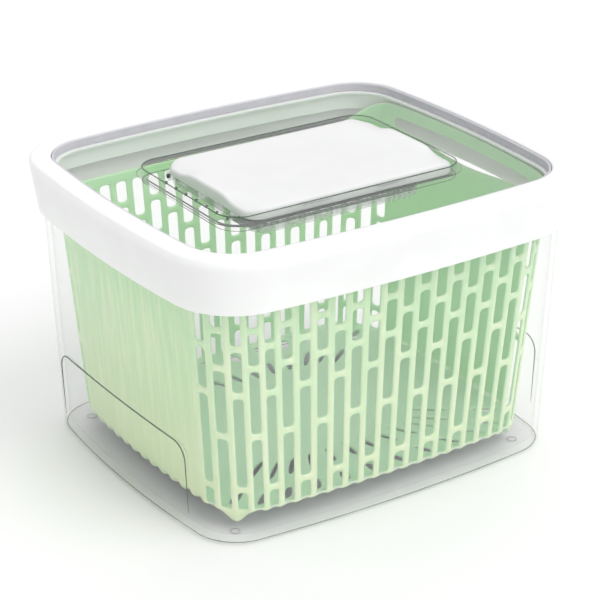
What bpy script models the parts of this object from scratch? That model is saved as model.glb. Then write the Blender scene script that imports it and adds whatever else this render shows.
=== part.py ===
"""Vented produce keeper: clear bin, slotted lift-out basket, framed clear lid with a sliding
vent and a drop-down carbon filter door.

Lengths are in millimetres and are turned into metres when a mesh is made. The origin is the
centre of the bin's underside, +X is the long way and +Z is up.
"""
import functools
import math

import bmesh
import bpy
from mathutils import Vector

MM = 0.001
GAP = 0.3            # clearance between pieces that rest on or against each other
CUT_PAST = 10.0      # how far a cutting tool runs past what it cuts
LEAST_BOW = 0.001    # a straight side is drawn as an arc this shallow
SMOOTH_ANGLE = math.radians(35)
FLAT_ANGLE = math.radians(0.2)

# Overall size
LENGTH = 216.0       # outside of the lid frame, along X
WIDTH = 187.5        # outside of the lid frame, along Y
HEIGHT = 139.0       # top of the lid frame
CORNER_R = 35.0      # lid frame corner
BOW = 2.7            # how far each long side swells outward at its middle

# Lid frame
FRAME_WIDTH = 10.3   # top face, outer edge to opening
SKIRT_HEIGHT = 25.6
SKIRT_WALL = 1.4
PLUG_WALL = 1.9      # the lid's inner wall
FRAME_ROOF = 4.0     # solid depth above the channel that takes the bin's rim
PLUG_DEPTH = 14.5    # the inner wall's lower edge, below the frame's top
LEDGE_WIDTH = 3.0    # inner ledge that carries the panel
LEDGE_THICK = 1.3
EDGE_R = 2.2         # rounding of the frame's top outer edge
LID_FIT = 0.5        # lid to bin, each side

# Bin
BIN_BASE_TUCK = 5.0  # how far the base is inside the bin's own rim, each side
BIN_BASE_R = 23.0
BIN_BASE_BOW = 3.5
BIN_WALL = 2.5
BIN_FLOOR = 3.0
BIN_FILLET = 3.0
RIM_CLEAR = 11.0     # free height between the bin's rim and the roof of the lid's channel
GRIP_HALF_WIDTH = 57.0
GRIP_LOW = 10.0      # where the grip recess fades into the wall
GRIP_HIGH = 44.5
GRIP_DEPTH = 1.2
GRIP_CORNER_R = 8.0

# Lid panel and its seal
PANEL_DROP = 2.7     # panel surface below the frame's top
PANEL_THICK = 1.5
SEAL_THICK = 1.1
SEAL_TOP_DROP = 0.7  # seal's top edge below the frame's top

# Basket
BASKET_SIDE_FIT = 0.7      # basket's walls to the lid's inner wall
BASKET_FLOOR_Z = 8.6       # underside of the basket's floor
BASKET_TUCK_X = 9.6        # how far each end wall leans in from its top to the floor
BASKET_TUCK_Y = 7.2        # and each long wall
BASKET_BOW = 2.0
BASKET_R_TOP = 26.5
BASKET_R_BASE = 25.0
BASKET_WALL = 2.0
BASKET_BEND_R = 3.5        # bend between wall and floor
LOW_RIM_DROP = 21.0        # top edge along the long sides, below the frame's top
SWOOP_START = 5.0          # the rim starts to climb this far into the corner
SWOOP_LENGTH = 24.0
HAND_SLOT_HALF = 56.0
HAND_SLOT_DROP = 6.6       # hand slot's top edge below the end wall's top edge
HAND_SLOT_MID = 9.5        # hand slot's height in the middle
HAND_SLOT_END = 3.5        # and at its ends
SLOT_TOP_DROP = 5.0        # slots' upper ends, below that edge
PLAIN_ROW = 1.2            # least height of a grid row above the slots
SLOT_SHARE = 0.56          # slot width as a share of the column pitch
BRIDGE = 3.2               # height of a bridge between two slots
BRIDGES_A = (0.881, 0.698, 0.361)   # middles, as shares of the slotted height
BRIDGES_B = (0.797, 0.569, 0.093)   # and in every other column
COLUMN_PITCH = 8.8         # along the long walls, at half height
COLUMNS_BEND = 3           # more of them, from there to the corner's middle
COLUMNS_END = 8            # columns from the corner's middle to the end wall's middle
COLUMNS_SLOTTED_END = 2    # how many of those have slots
FLOOR_BRICKS = ((1.0, 0.80), (0.76, 0.50))   # radial slots, as shares of the flat floor
FLOOR_HUB = 0.40
FOOT_HEEL = 0.985          # foot's inner edge, as a share of the flat floor

# Vent housing, cover and filter
HOUSING_LENGTH = 127.6
HOUSING_WIDTH = 84.0
HOUSING_R = 11.2
HOUSING_WALL = 1.2
HOUSING_RISE = 0.7         # housing's rim above the panel
HOUSING_RECESS = 6.0       # recess floor below the housing's rim
HOUSING_FLOOR = 1.2
FLANGE_REACH = 2.5         # flange under the panel
FLANGE_THICK = 1.2
TAB_WIDTH = 15.0
TAB_X = 20.0
TAB_HEIGHT = 1.1
VENT_R = 1.0
VENT_PITCH = 8.8
VENT_COUNT = 7
VENT_INSET = 7.3           # vent row in from the recess's end
COVER_TRAVEL = 12.0        # slide from open to shut
COVER_SIDE_GAP = 2.8       # cover to the recess's long sides
COVER_R = 9.0
COVER_THICK = 5.2
COVER_EDGE = 1.2           # softened top edge
COVER_FOOT_EDGE = 0.4      # and lower edge
DOOR_INSET_LEFT = 15.8     # tray inside the housing's outline, at its -X end
DOOR_INSET_RIGHT = 21.8    # at its +X end
DOOR_INSET_SIDE = 3.0      # and along its long sides
DOOR_DEPTH = 4.8
DOOR_WALL = 1.2
DOOR_R = 8.0
DOOR_EDGE = 0.6            # softened lower edge
FILTER_END_ROOM = 3.8      # sachet to the tray's end walls
FILTER_SIDE_ROOM = 5.8     # and to its side walls
FILTER_R = 5.0
FILTER_EDGE = 0.6
BARREL_BITE = 0.5          # how far the hinge barrel runs into the door's back wall
HINGE_PIN_R = 1.0
HINGE_FIT = 0.3
LUG_THICK = 2.4
LUG_HALF = 2.4

# Colour, roughness and alpha of each finish
FINISHES = {
    "bin_clear": ((0.93, 0.94, 0.95), 0.08, 0.35),
    "basket_green": ((0.46, 0.68, 0.42), 0.4, 1.0),
    "lid_white": ((0.9, 0.9, 0.91), 0.35, 1.0),
    "seal_grey": ((0.5, 0.47, 0.53), 0.45, 1.0),
    "panel_clear": ((0.93, 0.95, 0.94), 0.06, 0.3),
    "housing_clear": ((0.9, 0.93, 0.91), 0.06, 0.35),
    "cover_white": ((0.92, 0.92, 0.92), 0.3, 1.0),
    "door_clear": ((0.85, 0.9, 0.86), 0.25, 0.5),
    "filter_felt": ((0.75, 0.76, 0.74), 0.9, 1.0),
}

# Worked out from the above
COLUMNS_LONG = int((LENGTH / 2 - CORNER_R - FRAME_WIDTH) / COLUMN_PITCH)   # in half a long wall
BIN_INSET = FRAME_WIDTH - PLUG_WALL - LID_FIT - BIN_WALL   # bin's rim inside the frame's edge
SKIRT_DRAFT = BIN_INSET - LID_FIT - SKIRT_WALL   # how far the skirt tucks in at its lower edge
PANEL_Z = HEIGHT - PANEL_DROP
SKIRT_Z = HEIGHT - SKIRT_HEIGHT
ROOF_Z = HEIGHT - FRAME_ROOF
RIM_Z = ROOF_Z - RIM_CLEAR
PLUG_Z = HEIGHT - PLUG_DEPTH
LEDGE_Z = PANEL_Z - PANEL_THICK - GAP
HALF = (LENGTH / 2, WIDTH / 2)
LOW_RIM_Z = HEIGHT - LOW_RIM_DROP
SLOT_TOP_Z = LOW_RIM_Z - SLOT_TOP_DROP
SLOT_LOW_Z = BASKET_FLOOR_Z + BASKET_BEND_R
HOUSING_Z = PANEL_Z + HOUSING_RISE
RECESS_Z = HOUSING_Z - HOUSING_RECESS
HOUSING_LOW_Z = RECESS_Z - HOUSING_FLOOR
DOOR_TOP_Z = HOUSING_LOW_Z - GAP
DOOR_LOW_Z = DOOR_TOP_Z - DOOR_DEPTH
DOOR_LENGTH = HOUSING_LENGTH - DOOR_INSET_LEFT - DOOR_INSET_RIGHT
DOOR_WIDTH = HOUSING_WIDTH - 2 * DOOR_INSET_SIDE
DOOR_SHIFT = (DOOR_INSET_LEFT - DOOR_INSET_RIGHT) / 2     # tray's middle along X
FILTER_LENGTH = DOOR_LENGTH - 2 * (DOOR_WALL + FILTER_END_ROOM)
FILTER_WIDTH = DOOR_WIDTH - 2 * (DOOR_WALL + FILTER_SIDE_ROOM)
BARREL_R = DOOR_DEPTH / 2
BARREL_HALF = DOOR_LENGTH / 2 - BARREL_R
HINGE_Y = DOOR_WIDTH / 2 + BARREL_R - BARREL_BITE
HINGE_Z = DOOR_LOW_Z + BARREL_R


def clear_scene():
    for obj in list(bpy.data.objects):
        bpy.data.objects.remove(obj, do_unlink=True)


def material(name):
    colour, roughness, alpha = FINISHES[name]
    mat = bpy.data.materials.new(name)
    mat.use_nodes = True
    shader = mat.node_tree.nodes["Principled BSDF"]
    shader.inputs["Base Color"].default_value = (*colour, 1.0)
    shader.inputs["Roughness"].default_value = roughness
    shader.inputs["Alpha"].default_value = alpha
    return mat


def finish(bm, name, mat=None, smooth=True):
    """Turns a bmesh in millimetres into a named object in metres."""
    bmesh.ops.scale(bm, vec=Vector((MM, MM, MM)), verts=bm.verts)
    mesh = bpy.data.meshes.new(name)
    bm.to_mesh(mesh)
    bm.free()
    obj = bpy.data.objects.new(name, mesh)
    bpy.context.scene.collection.objects.link(obj)
    if smooth:
        mesh.shade_smooth()
        mesh.set_sharp_from_angle(angle=SMOOTH_ANGLE)
    if mat:
        mesh.materials.append(mat)
    return obj


def quarter_arcs(half_x, half_y, radius, bow):
    """The three arcs of one quarter of a rounded rectangle with bowed sides, from +X to +Y.

    Each is its centre, its radius and its first and last angle.
    """
    bow = max(bow, LEAST_BOW)
    big_x = (half_y - radius) ** 2 / (2 * bow)
    big_y = (half_x - radius) ** 2 / (2 * bow)
    side_x = Vector((half_x - big_x, 0.0))
    side_y = Vector((0.0, half_y - big_y))
    reach_x = big_x - radius
    reach_y = big_y - radius
    across = side_y - side_x
    span = across.length
    along = (reach_x ** 2 - reach_y ** 2 + span ** 2) / (2 * span)
    rise = math.sqrt(reach_x ** 2 - along ** 2)
    unit = across / span
    centre = side_x + unit * along + Vector((-unit.y, unit.x)) * rise
    start = math.atan2(centre.y - side_x.y, centre.x - side_x.x)
    stop = math.atan2(centre.y - side_y.y, centre.x - side_y.x)
    return (
        (side_x, big_x, 0.0, start),
        (centre, radius, start, stop),
        (side_y, big_y, stop, math.pi / 2),
    )


def quadrant(half_x, half_y, radius, bow, stations):
    """Points of one quarter. stations holds the shares of each arc to stop at."""
    points = []
    for (middle, reach, low, high), shares in zip(quarter_arcs(half_x, half_y, radius, bow),
                                                  stations):
        for share in shares:
            angle = low + (high - low) * share
            points.append(middle + reach * Vector((math.cos(angle), math.sin(angle))))
    return points


def whole_loop(quarter, shared):
    """Mirrors a quarter into a closed loop. shared says that its ends lie on the axes."""
    flipped = list(reversed(quarter))
    cut = 1 if shared else 0
    loop = list(quarter)
    loop += [Vector((-p.x, p.y)) for p in flipped[cut:]]
    loop += [Vector((-p.x, -p.y)) for p in quarter[cut:]]
    loop += [Vector((p.x, -p.y)) for p in flipped[cut:len(flipped) - cut]]
    return loop


def outline(half_x, half_y, radius, bow=0.0, sides=3, corner=6):
    short = [k / sides for k in range(sides)]
    bend = [k / corner for k in range(corner)]
    long = [k / sides for k in range(sides + 1)]
    return whole_loop(quadrant(half_x, half_y, radius, bow, (short, bend, long)), True)


def ring_at(loop, z):
    return [Vector((p.x, p.y, z)) for p in loop]


def loft(rings, closed=False):
    """Skins rings of equal count. They run up the outside and down the inside."""
    bm = bmesh.new()
    rows = [[bm.verts.new(p) for p in ring] for ring in rings]
    count = len(rows[0])
    pairs = list(zip(rows, rows[1:]))
    if closed:
        pairs.append((rows[-1], rows[0]))
    for low, high in pairs:
        for k in range(count):
            nxt = (k + 1) % count
            bm.faces.new((low[k], low[nxt], high[nxt], high[k]))
    if not closed:
        bm.faces.new(list(reversed(rows[0])))
        bm.faces.new(rows[-1])
    return bm


def block(name, low, high, mat=None):
    """A plain box between two corners."""
    bm = bmesh.new()
    bmesh.ops.create_cube(bm, size=1.0)
    for vert in bm.verts:
        for axis in range(3):
            vert.co[axis] = high[axis] if vert.co[axis] > 0 else low[axis]
    return finish(bm, name, mat, smooth=False)


def rod(name, centre, axis, radius, length, sides=12):
    """A round bar, centred, along the given axis."""
    bm = bmesh.new()
    bmesh.ops.create_cone(bm, cap_ends=True, segments=sides, radius1=radius, radius2=radius,
                          depth=length)
    turn = Vector((0, 0, 1)).rotation_difference(Vector(axis)).to_matrix().to_4x4()
    bmesh.ops.transform(bm, matrix=turn, verts=bm.verts)
    bmesh.ops.translate(bm, vec=Vector(centre), verts=bm.verts)
    return finish(bm, name)


def boolean(target, tool, operation):
    """Adds or cuts a helper solid, which is then left out of the model."""
    mod = target.modifiers.new(tool.name, "BOOLEAN")
    mod.operation = operation
    mod.solver = "EXACT"
    mod.object = tool
    tool.hide_render = True
    tool.display_type = "WIRE"


# ---------------------------------------------------------------- bin

def bin_half(z):
    """Outside half-sizes, corner radius and bow of the bin at height z."""
    share = z / RIM_Z
    return (
        HALF[0] - BIN_INSET - BIN_BASE_TUCK * (1 - share),
        HALF[1] - BIN_INSET - BIN_BASE_TUCK * (1 - share),
        BIN_BASE_R + (CORNER_R - BIN_INSET - BIN_BASE_R) * share,
        BIN_BASE_BOW + (BOW - BIN_BASE_BOW) * share,
    )


def bin_ring(z, inset=0.0):
    half_x, half_y, radius, bow = bin_half(z)
    return ring_at(outline(half_x - inset, half_y - inset, radius - inset, bow), z)


def make_bin():
    fillet_mid = BIN_FILLET * (1 - math.sqrt(0.5))
    rings = [
        bin_ring(0.0, BIN_FILLET),
        bin_ring(fillet_mid, fillet_mid),
        bin_ring(BIN_FILLET),
        bin_ring(RIM_Z),
        bin_ring(RIM_Z, BIN_WALL),
        bin_ring(BIN_FLOOR + BIN_FILLET, BIN_WALL),
        bin_ring(BIN_FLOOR + fillet_mid, BIN_WALL + fillet_mid),
        bin_ring(BIN_FLOOR, BIN_WALL + BIN_FILLET),
    ]
    body = finish(loft(rings), "bin", material("bin_clear"))
    for side, label in ((-1, "left"), (1, "right")):
        boolean(body, grip_cutter(side, label), "DIFFERENCE")
    return body


def grip_cutter(side, label):
    """The wedge of wall that is taken out of one end to form its finger grip."""
    core_top = GRIP_HIGH + GRIP_CORNER_R
    slope = GRIP_DEPTH / (GRIP_HIGH - GRIP_LOW)
    core = loft([bin_ring(GRIP_LOW), bin_ring(core_top, slope * (core_top - GRIP_LOW))])
    core_obj = finish(core, "grip_core_" + label)
    core_obj.hide_render = True
    core_obj.display_type = "WIRE"
    near = HALF[0] / 2 * side
    far = (HALF[0] + CUT_PAST) * side
    corner_steps = 5
    right = [(GRIP_HALF_WIDTH, GRIP_LOW)]
    for step in range(corner_steps + 1):
        angle = step / corner_steps * math.pi / 2
        right.append((
            GRIP_HALF_WIDTH - GRIP_CORNER_R * (1 - math.cos(angle)),
            GRIP_HIGH - GRIP_CORNER_R * (1 - math.sin(angle)),
        ))
    profile = right + [(-y, z) for y, z in reversed(right)]
    low, high = sorted((near, far))
    bm = bmesh.new()
    rows = [[bm.verts.new((x, y, z)) for y, z in profile] for x in (low, high)]
    bm.faces.new(list(reversed(rows[0])))
    bm.faces.new(rows[1])
    count = len(profile)
    for k in range(count):
        nxt = (k + 1) % count
        bm.faces.new((rows[0][k], rows[0][nxt], rows[1][nxt], rows[1][k]))
    bmesh.ops.recalc_face_normals(bm, faces=bm.faces)
    cutter = finish(bm, "grip_cutter_" + label)
    boolean(cutter, core_obj, "DIFFERENCE")
    return cutter


# ---------------------------------------------------------------- lid

def lid_ring(inset, z):
    return ring_at(outline(HALF[0] - inset, HALF[1] - inset, CORNER_R - inset, BOW), z)


def skirt_inset(z):
    """Draft of the frame's outer face, which is widest just under its rounded edge."""
    return SKIRT_DRAFT * max(HEIGHT - EDGE_R - z, 0.0) / (SKIRT_HEIGHT - EDGE_R)


def make_lid_frame():
    curve = EDGE_R * (1 - math.sqrt(0.5))
    side_z = HEIGHT - EDGE_R
    plug_out = FRAME_WIDTH - PLUG_WALL
    section = [
        (skirt_inset(SKIRT_Z), SKIRT_Z),
        (skirt_inset(side_z), side_z),
        (skirt_inset(HEIGHT) + curve, HEIGHT - curve),
        (skirt_inset(HEIGHT) + EDGE_R, HEIGHT),
        (FRAME_WIDTH, HEIGHT),
        (FRAME_WIDTH, LEDGE_Z),
        (FRAME_WIDTH + LEDGE_WIDTH, LEDGE_Z),
        (FRAME_WIDTH + LEDGE_WIDTH, LEDGE_Z - LEDGE_THICK),
        (FRAME_WIDTH, LEDGE_Z - LEDGE_THICK),
        (FRAME_WIDTH, PLUG_Z),
        (plug_out, PLUG_Z),
        (plug_out, ROOF_Z),
        (skirt_inset(ROOF_Z) + SKIRT_WALL, ROOF_Z),
        (skirt_inset(SKIRT_Z) + SKIRT_WALL, SKIRT_Z),
    ]
    rings = [lid_ring(inset, z) for inset, z in section]
    finish(loft(rings, closed=True), "lid_frame", material("lid_white"))


def make_lid_seal():
    inner = FRAME_WIDTH + GAP + SEAL_THICK
    low = LEDGE_Z + GAP
    high = HEIGHT - SEAL_TOP_DROP
    section = [(FRAME_WIDTH + GAP, low), (FRAME_WIDTH + GAP, high), (inner, high), (inner, low)]
    rings = [lid_ring(inset, z) for inset, z in section]
    finish(loft(rings, closed=True), "lid_seal", material("seal_grey"))


def plate_ring(half_x, half_y, radius, z):
    return ring_at(outline(half_x, half_y, radius, sides=1), z)


def make_lid_panel():
    inset = FRAME_WIDTH + SEAL_THICK + 2 * GAP
    low = PANEL_Z - PANEL_THICK
    rings = [lid_ring(inset, low), lid_ring(inset, PANEL_Z)]
    panel = finish(loft(rings), "lid_panel", material("panel_clear"))
    hole = loft([
        plate_ring(HOUSING_LENGTH / 2 + GAP, HOUSING_WIDTH / 2 + GAP, HOUSING_R + GAP, z)
        for z in (low - CUT_PAST, PANEL_Z + CUT_PAST)
    ])
    boolean(panel, finish(hole, "panel_window"), "DIFFERENCE")


# ---------------------------------------------------------------- vent and filter

def housing_ring(offset, z):
    return plate_ring(HOUSING_LENGTH / 2 + offset, HOUSING_WIDTH / 2 + offset,
                      HOUSING_R + offset, z)


def make_vent_housing():
    flange_top = PANEL_Z - PANEL_THICK - GAP
    flange_low = flange_top - FLANGE_THICK
    rings = [
        housing_ring(0.0, HOUSING_LOW_Z),
        housing_ring(0.0, flange_low),
        housing_ring(FLANGE_REACH, flange_low),
        housing_ring(FLANGE_REACH, flange_top),
        housing_ring(0.0, flange_top),
        housing_ring(0.0, HOUSING_Z),
        housing_ring(-HOUSING_WALL, HOUSING_Z),
        housing_ring(-HOUSING_WALL, RECESS_Z),
    ]
    housing = finish(loft(rings), "vent_housing", material("housing_clear"))
    row_x = -(HOUSING_LENGTH / 2 - HOUSING_WALL - VENT_INSET)
    for k in range(VENT_COUNT):
        y = (k - (VENT_COUNT - 1) / 2) * VENT_PITCH
        drill = rod("vent_drill_%d" % k, (row_x, y, RECESS_Z), (0, 0, 1), VENT_R,
                    2 * CUT_PAST, sides=10)
        boolean(housing, drill, "DIFFERENCE")
    edge = -HOUSING_WIDTH / 2
    for side, label in ((-1, "left"), (1, "right")):
        tab = block("tab_" + label,
                    (side * TAB_X - TAB_WIDTH / 2, edge - FLANGE_REACH, PANEL_Z + GAP),
                    (side * TAB_X + TAB_WIDTH / 2, edge + HOUSING_WALL / 2,
                     PANEL_Z + GAP + TAB_HEIGHT))
        boolean(housing, tab, "UNION")
        lug_x = DOOR_SHIFT + side * (BARREL_HALF + GAP + LUG_THICK / 2)
        lug = block("lug_" + label,
                    (lug_x - LUG_THICK / 2, HINGE_Y - LUG_HALF, HINGE_Z - LUG_HALF),
                    (lug_x + LUG_THICK / 2, HINGE_Y + LUG_HALF, HOUSING_LOW_Z + HOUSING_FLOOR / 2))
        boolean(housing, lug, "UNION")
        bore = rod("lug_bore_" + label, (lug_x, HINGE_Y, HINGE_Z), (1, 0, 0),
                   HINGE_PIN_R + HINGE_FIT, LUG_THICK * 2)
        boolean(housing, bore, "DIFFERENCE")


def make_vent_cover():
    """Sliding cover, drawn with the vent fully open. Its origin is at its own middle."""
    end = HOUSING_LENGTH / 2 - HOUSING_WALL - GAP
    half_x = end - COVER_TRAVEL / 2
    half_y = HOUSING_WIDTH / 2 - HOUSING_WALL - COVER_SIDE_GAP
    low = RECESS_Z + GAP
    curve = COVER_EDGE * (1 - math.sqrt(0.5))
    foot = COVER_FOOT_EDGE
    rings = [
        plate_ring(half_x - foot, half_y - foot, COVER_R - foot, 0.0),
        plate_ring(half_x, half_y, COVER_R, foot),
        plate_ring(half_x, half_y, COVER_R, COVER_THICK - COVER_EDGE),
        plate_ring(half_x - curve, half_y - curve, COVER_R - curve, COVER_THICK - curve),
        plate_ring(half_x - COVER_EDGE, half_y - COVER_EDGE, COVER_R - COVER_EDGE, COVER_THICK),
    ]
    cover = finish(loft(rings), "vent_cover", material("cover_white"))
    cover.location = Vector((end - half_x, 0.0, low)) * MM


def make_filter_door():
    """Shallow tray under the housing. Its origin is on its hinge axis."""
    half_x = DOOR_LENGTH / 2
    half_y = DOOR_WIDTH / 2
    shift = Vector((0.0, -HINGE_Y, -HINGE_Z))
    section = [
        (DOOR_EDGE, DOOR_LOW_Z),
        (0.0, DOOR_LOW_Z + DOOR_EDGE),
        (0.0, DOOR_TOP_Z),
        (DOOR_WALL, DOOR_TOP_Z),
        (DOOR_WALL, DOOR_LOW_Z + DOOR_WALL),
    ]
    rings = [
        [p + shift for p in plate_ring(half_x - inset, half_y - inset, DOOR_R - inset, z)]
        for inset, z in section
    ]
    door = finish(loft(rings), "filter_door", material("door_clear"))
    door.location = Vector((DOOR_SHIFT, HINGE_Y, HINGE_Z)) * MM
    for label, radius, reach in (("barrel", BARREL_R, BARREL_HALF),
                                 ("pin", HINGE_PIN_R, BARREL_HALF + GAP + LUG_THICK)):
        bar = rod("door_" + label, (0.0, 0.0, 0.0), (1, 0, 0), radius, reach * 2)
        bar.location = door.location
        boolean(door, bar, "UNION")


def make_carbon_filter():
    low = DOOR_LOW_Z + DOOR_WALL + GAP
    high = DOOR_TOP_Z - GAP
    half_x = FILTER_LENGTH / 2
    half_y = FILTER_WIDTH / 2
    rings = [
        plate_ring(half_x - FILTER_EDGE, half_y - FILTER_EDGE, FILTER_R, low),
        plate_ring(half_x, half_y, FILTER_R, (low + high) / 2),
        plate_ring(half_x - FILTER_EDGE, half_y - FILTER_EDGE, FILTER_R, high),
    ]
    sachet = finish(loft(rings), "carbon_filter", material("filter_felt"))
    sachet.location = Vector((DOOR_SHIFT, 0.0, 0.0)) * MM


# ---------------------------------------------------------------- basket

def basket_half(z):
    top_inset = FRAME_WIDTH + BASKET_SIDE_FIT
    share = (z - BASKET_FLOOR_Z) / (PANEL_Z - BASKET_FLOOR_Z)
    return (
        HALF[0] - top_inset - BASKET_TUCK_X * (1 - share),
        HALF[1] - top_inset - BASKET_TUCK_Y * (1 - share),
        BASKET_R_BASE + (BASKET_R_TOP - BASKET_R_BASE) * share,
        BASKET_BOW,
    )


def column_stations():
    """Both edges of every slot column in a quarter, as shares of its three arcs.

    The columns are set out at half height, from the short side's middle round to the long
    side's middle, and each keeps its shares at every other height.
    """
    half_height = (BASKET_FLOOR_Z + PANEL_Z) / 2
    arcs = quarter_arcs(*basket_half(half_height))
    lengths = [reach * (high - low) for _, reach, low, high in arcs]
    corner_middle = lengths[0] + lengths[1] / 2
    total = sum(lengths)
    straight = total - COLUMN_PITCH * COLUMNS_LONG
    edges = [corner_middle * k / COLUMNS_END for k in range(COLUMNS_END)]
    edges += [corner_middle + (straight - corner_middle) * k / COLUMNS_BEND
              for k in range(COLUMNS_BEND)]
    edges += [straight + COLUMN_PITCH * k for k in range(COLUMNS_LONG + 1)]
    stations = ([], [], [])
    for start, stop in zip(edges, edges[1:]):
        for side in (-1, 1):
            place = (start + stop) / 2 + side * (stop - start) * SLOT_SHARE / 2
            arc = 0
            while place > lengths[arc]:
                place -= lengths[arc]
                arc += 1
            stations[arc].append(place / lengths[arc])
    return stations


COLUMNS_QUARTER = COLUMNS_END + COLUMNS_BEND + COLUMNS_LONG


@functools.lru_cache(maxsize=None)
def basket_loop(z, inset):
    half_x, half_y, radius, bow = basket_half(z)
    quarter = quadrant(half_x - inset, half_y - inset, radius - inset, bow, column_stations())
    return whole_loop(quarter, False)


def quarter_column(index):
    """Column number within its quarter, counted from the short side's middle."""
    place = index % (2 * COLUMNS_QUARTER)
    return place if place < COLUMNS_QUARTER else 2 * COLUMNS_QUARTER - 1 - place


def smooth_step(value):
    value = min(max(value, 0.0), 1.0)
    return value * value * (3 - 2 * value)


def rim_heights(loop):
    """Top edge of the basket: low along the long sides, high across the ends."""
    high_rim = LEDGE_Z - LEDGE_THICK - GAP
    half_x = basket_half(LOW_RIM_Z)[0]
    swoop_in = half_x - BASKET_R_TOP + SWOOP_START
    heights = []
    for p in loop:
        share = smooth_step((abs(p.x) - swoop_in) / SWOOP_LENGTH)
        heights.append(LOW_RIM_Z + (high_rim - LOW_RIM_Z) * share)
    return heights


def hand_slot_low(y, top):
    """Lower edge of a hand slot: deepest in the middle."""
    share = smooth_step(abs(y) / HAND_SLOT_HALF)
    return top - HAND_SLOT_MID + (HAND_SLOT_MID - HAND_SLOT_END) * share


def bridge_z(share):
    return SLOT_LOW_Z + (SLOT_TOP_Z - SLOT_LOW_Z) * share


def make_basket():
    """One skin over a grid of columns and rows, with the slots left out of the grid."""
    guide = basket_loop(LOW_RIM_Z, 0.0)
    rims = rim_heights(guide)
    bridge_edges = sorted(
        {bridge_z(share) + side * BRIDGE / 2 for share in BRIDGES_A + BRIDGES_B
         for side in (-1, 1)}, reverse=True)
    levels = [None, None, None, SLOT_TOP_Z] + bridge_edges + [SLOT_LOW_Z]
    bend_steps = 2
    shares = sorted({s for brick in FLOOR_BRICKS for s in brick} - {1.0}, reverse=True)
    shares.append(FLOOR_HUB)
    feet = foot_lines()
    skins = []
    for inset in (0.0, BASKET_WALL):
        rows = []
        for number, level in enumerate(levels):
            row = []
            for k, p in enumerate(guide):
                slot_top = max(rims[k] - HAND_SLOT_DROP, SLOT_TOP_Z + 2 * PLAIN_ROW)
                slot_low = max(hand_slot_low(p.y, slot_top), SLOT_TOP_Z + PLAIN_ROW)
                z = (rims[k], slot_top, slot_low)[number] if number < 3 else level
                row.append(z)
            rows.append([Vector((*basket_loop(z, inset)[k], z)) for k, z in enumerate(row)])
        bend_z = SLOT_LOW_Z
        for step in range(1, bend_steps + 1):
            angle = step / bend_steps * math.pi / 2
            reach = BASKET_BEND_R - inset
            z = bend_z - reach * math.sin(angle)
            loop = basket_loop(bend_z, inset + reach * (1 - math.cos(angle)))
            rows.append(ring_at(loop, z))
        if inset == 0.0:
            for k in feet:
                toe = rows[-bend_steps - 1][k].lerp(rows[-1][k], 0.5)
                heel = rows[-1][k] * FOOT_HEEL
                rows[-2][k] = Vector((toe.x, toe.y, BIN_FLOOR + GAP))
                rows[-1][k] = Vector((heel.x, heel.y, BIN_FLOOR + GAP))
        edge = basket_loop(bend_z, BASKET_BEND_R)
        floor_z = BASKET_FLOOR_Z + inset
        for share in shares:
            rows.append([Vector((p.x * share, p.y * share, floor_z)) for p in edge])
        skins.append(rows)
    spans = slot_spans(levels, bend_steps, shares)
    bm = skin_grid(skins, spans)
    bmesh.ops.dissolve_limit(bm, angle_limit=FLAT_ANGLE, verts=bm.verts, edges=bm.edges)
    finish(bm, "basket", material("basket_green"))


def foot_lines():
    """Grid lines on both sides of the rib in the middle of each corner."""
    middle = 2 * COLUMNS_END
    total = 8 * COLUMNS_QUARTER
    half = total // 2
    lines = []
    for base in (0, half):
        lines += [base + middle - 1, base + middle]
        lines += [base + half - middle, base + half - middle - 1]
    return lines


def slot_spans(levels, bend_steps, shares):
    """For each grid cell row, which kinds of column are open there."""
    wall_rows = len(levels) - 1
    spans = []
    for row in range(wall_rows):
        top, low = levels[row], levels[row + 1]
        kinds = set()
        if row == 1:
            kinds.add("hand")
        if row >= 3:
            middle = (top + low) / 2
            for kind, bridges in (("A", BRIDGES_A), ("B", BRIDGES_B)):
                if all(abs(middle - bridge_z(share)) > BRIDGE / 2 for share in bridges):
                    kinds.add(kind)
        spans.append(kinds)
    spans += [{"A", "B", "end"} for _ in range(bend_steps)]
    edges = [1.0] + shares
    for top, low in zip(edges, edges[1:]):
        middle = (top + low) / 2
        inside = any(low_edge < middle < high_edge for high_edge, low_edge in FLOOR_BRICKS)
        spans.append({"A", "B", "end"} if inside else set())
    return spans


def is_open(index, kinds):
    """Whether a column's slot cell is open in a row with these kinds."""
    place = quarter_column(index)
    if place >= COLUMNS_END - COLUMNS_SLOTTED_END:
        return ("A" if index % 2 else "B") in kinds
    return "end" in kinds


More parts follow.
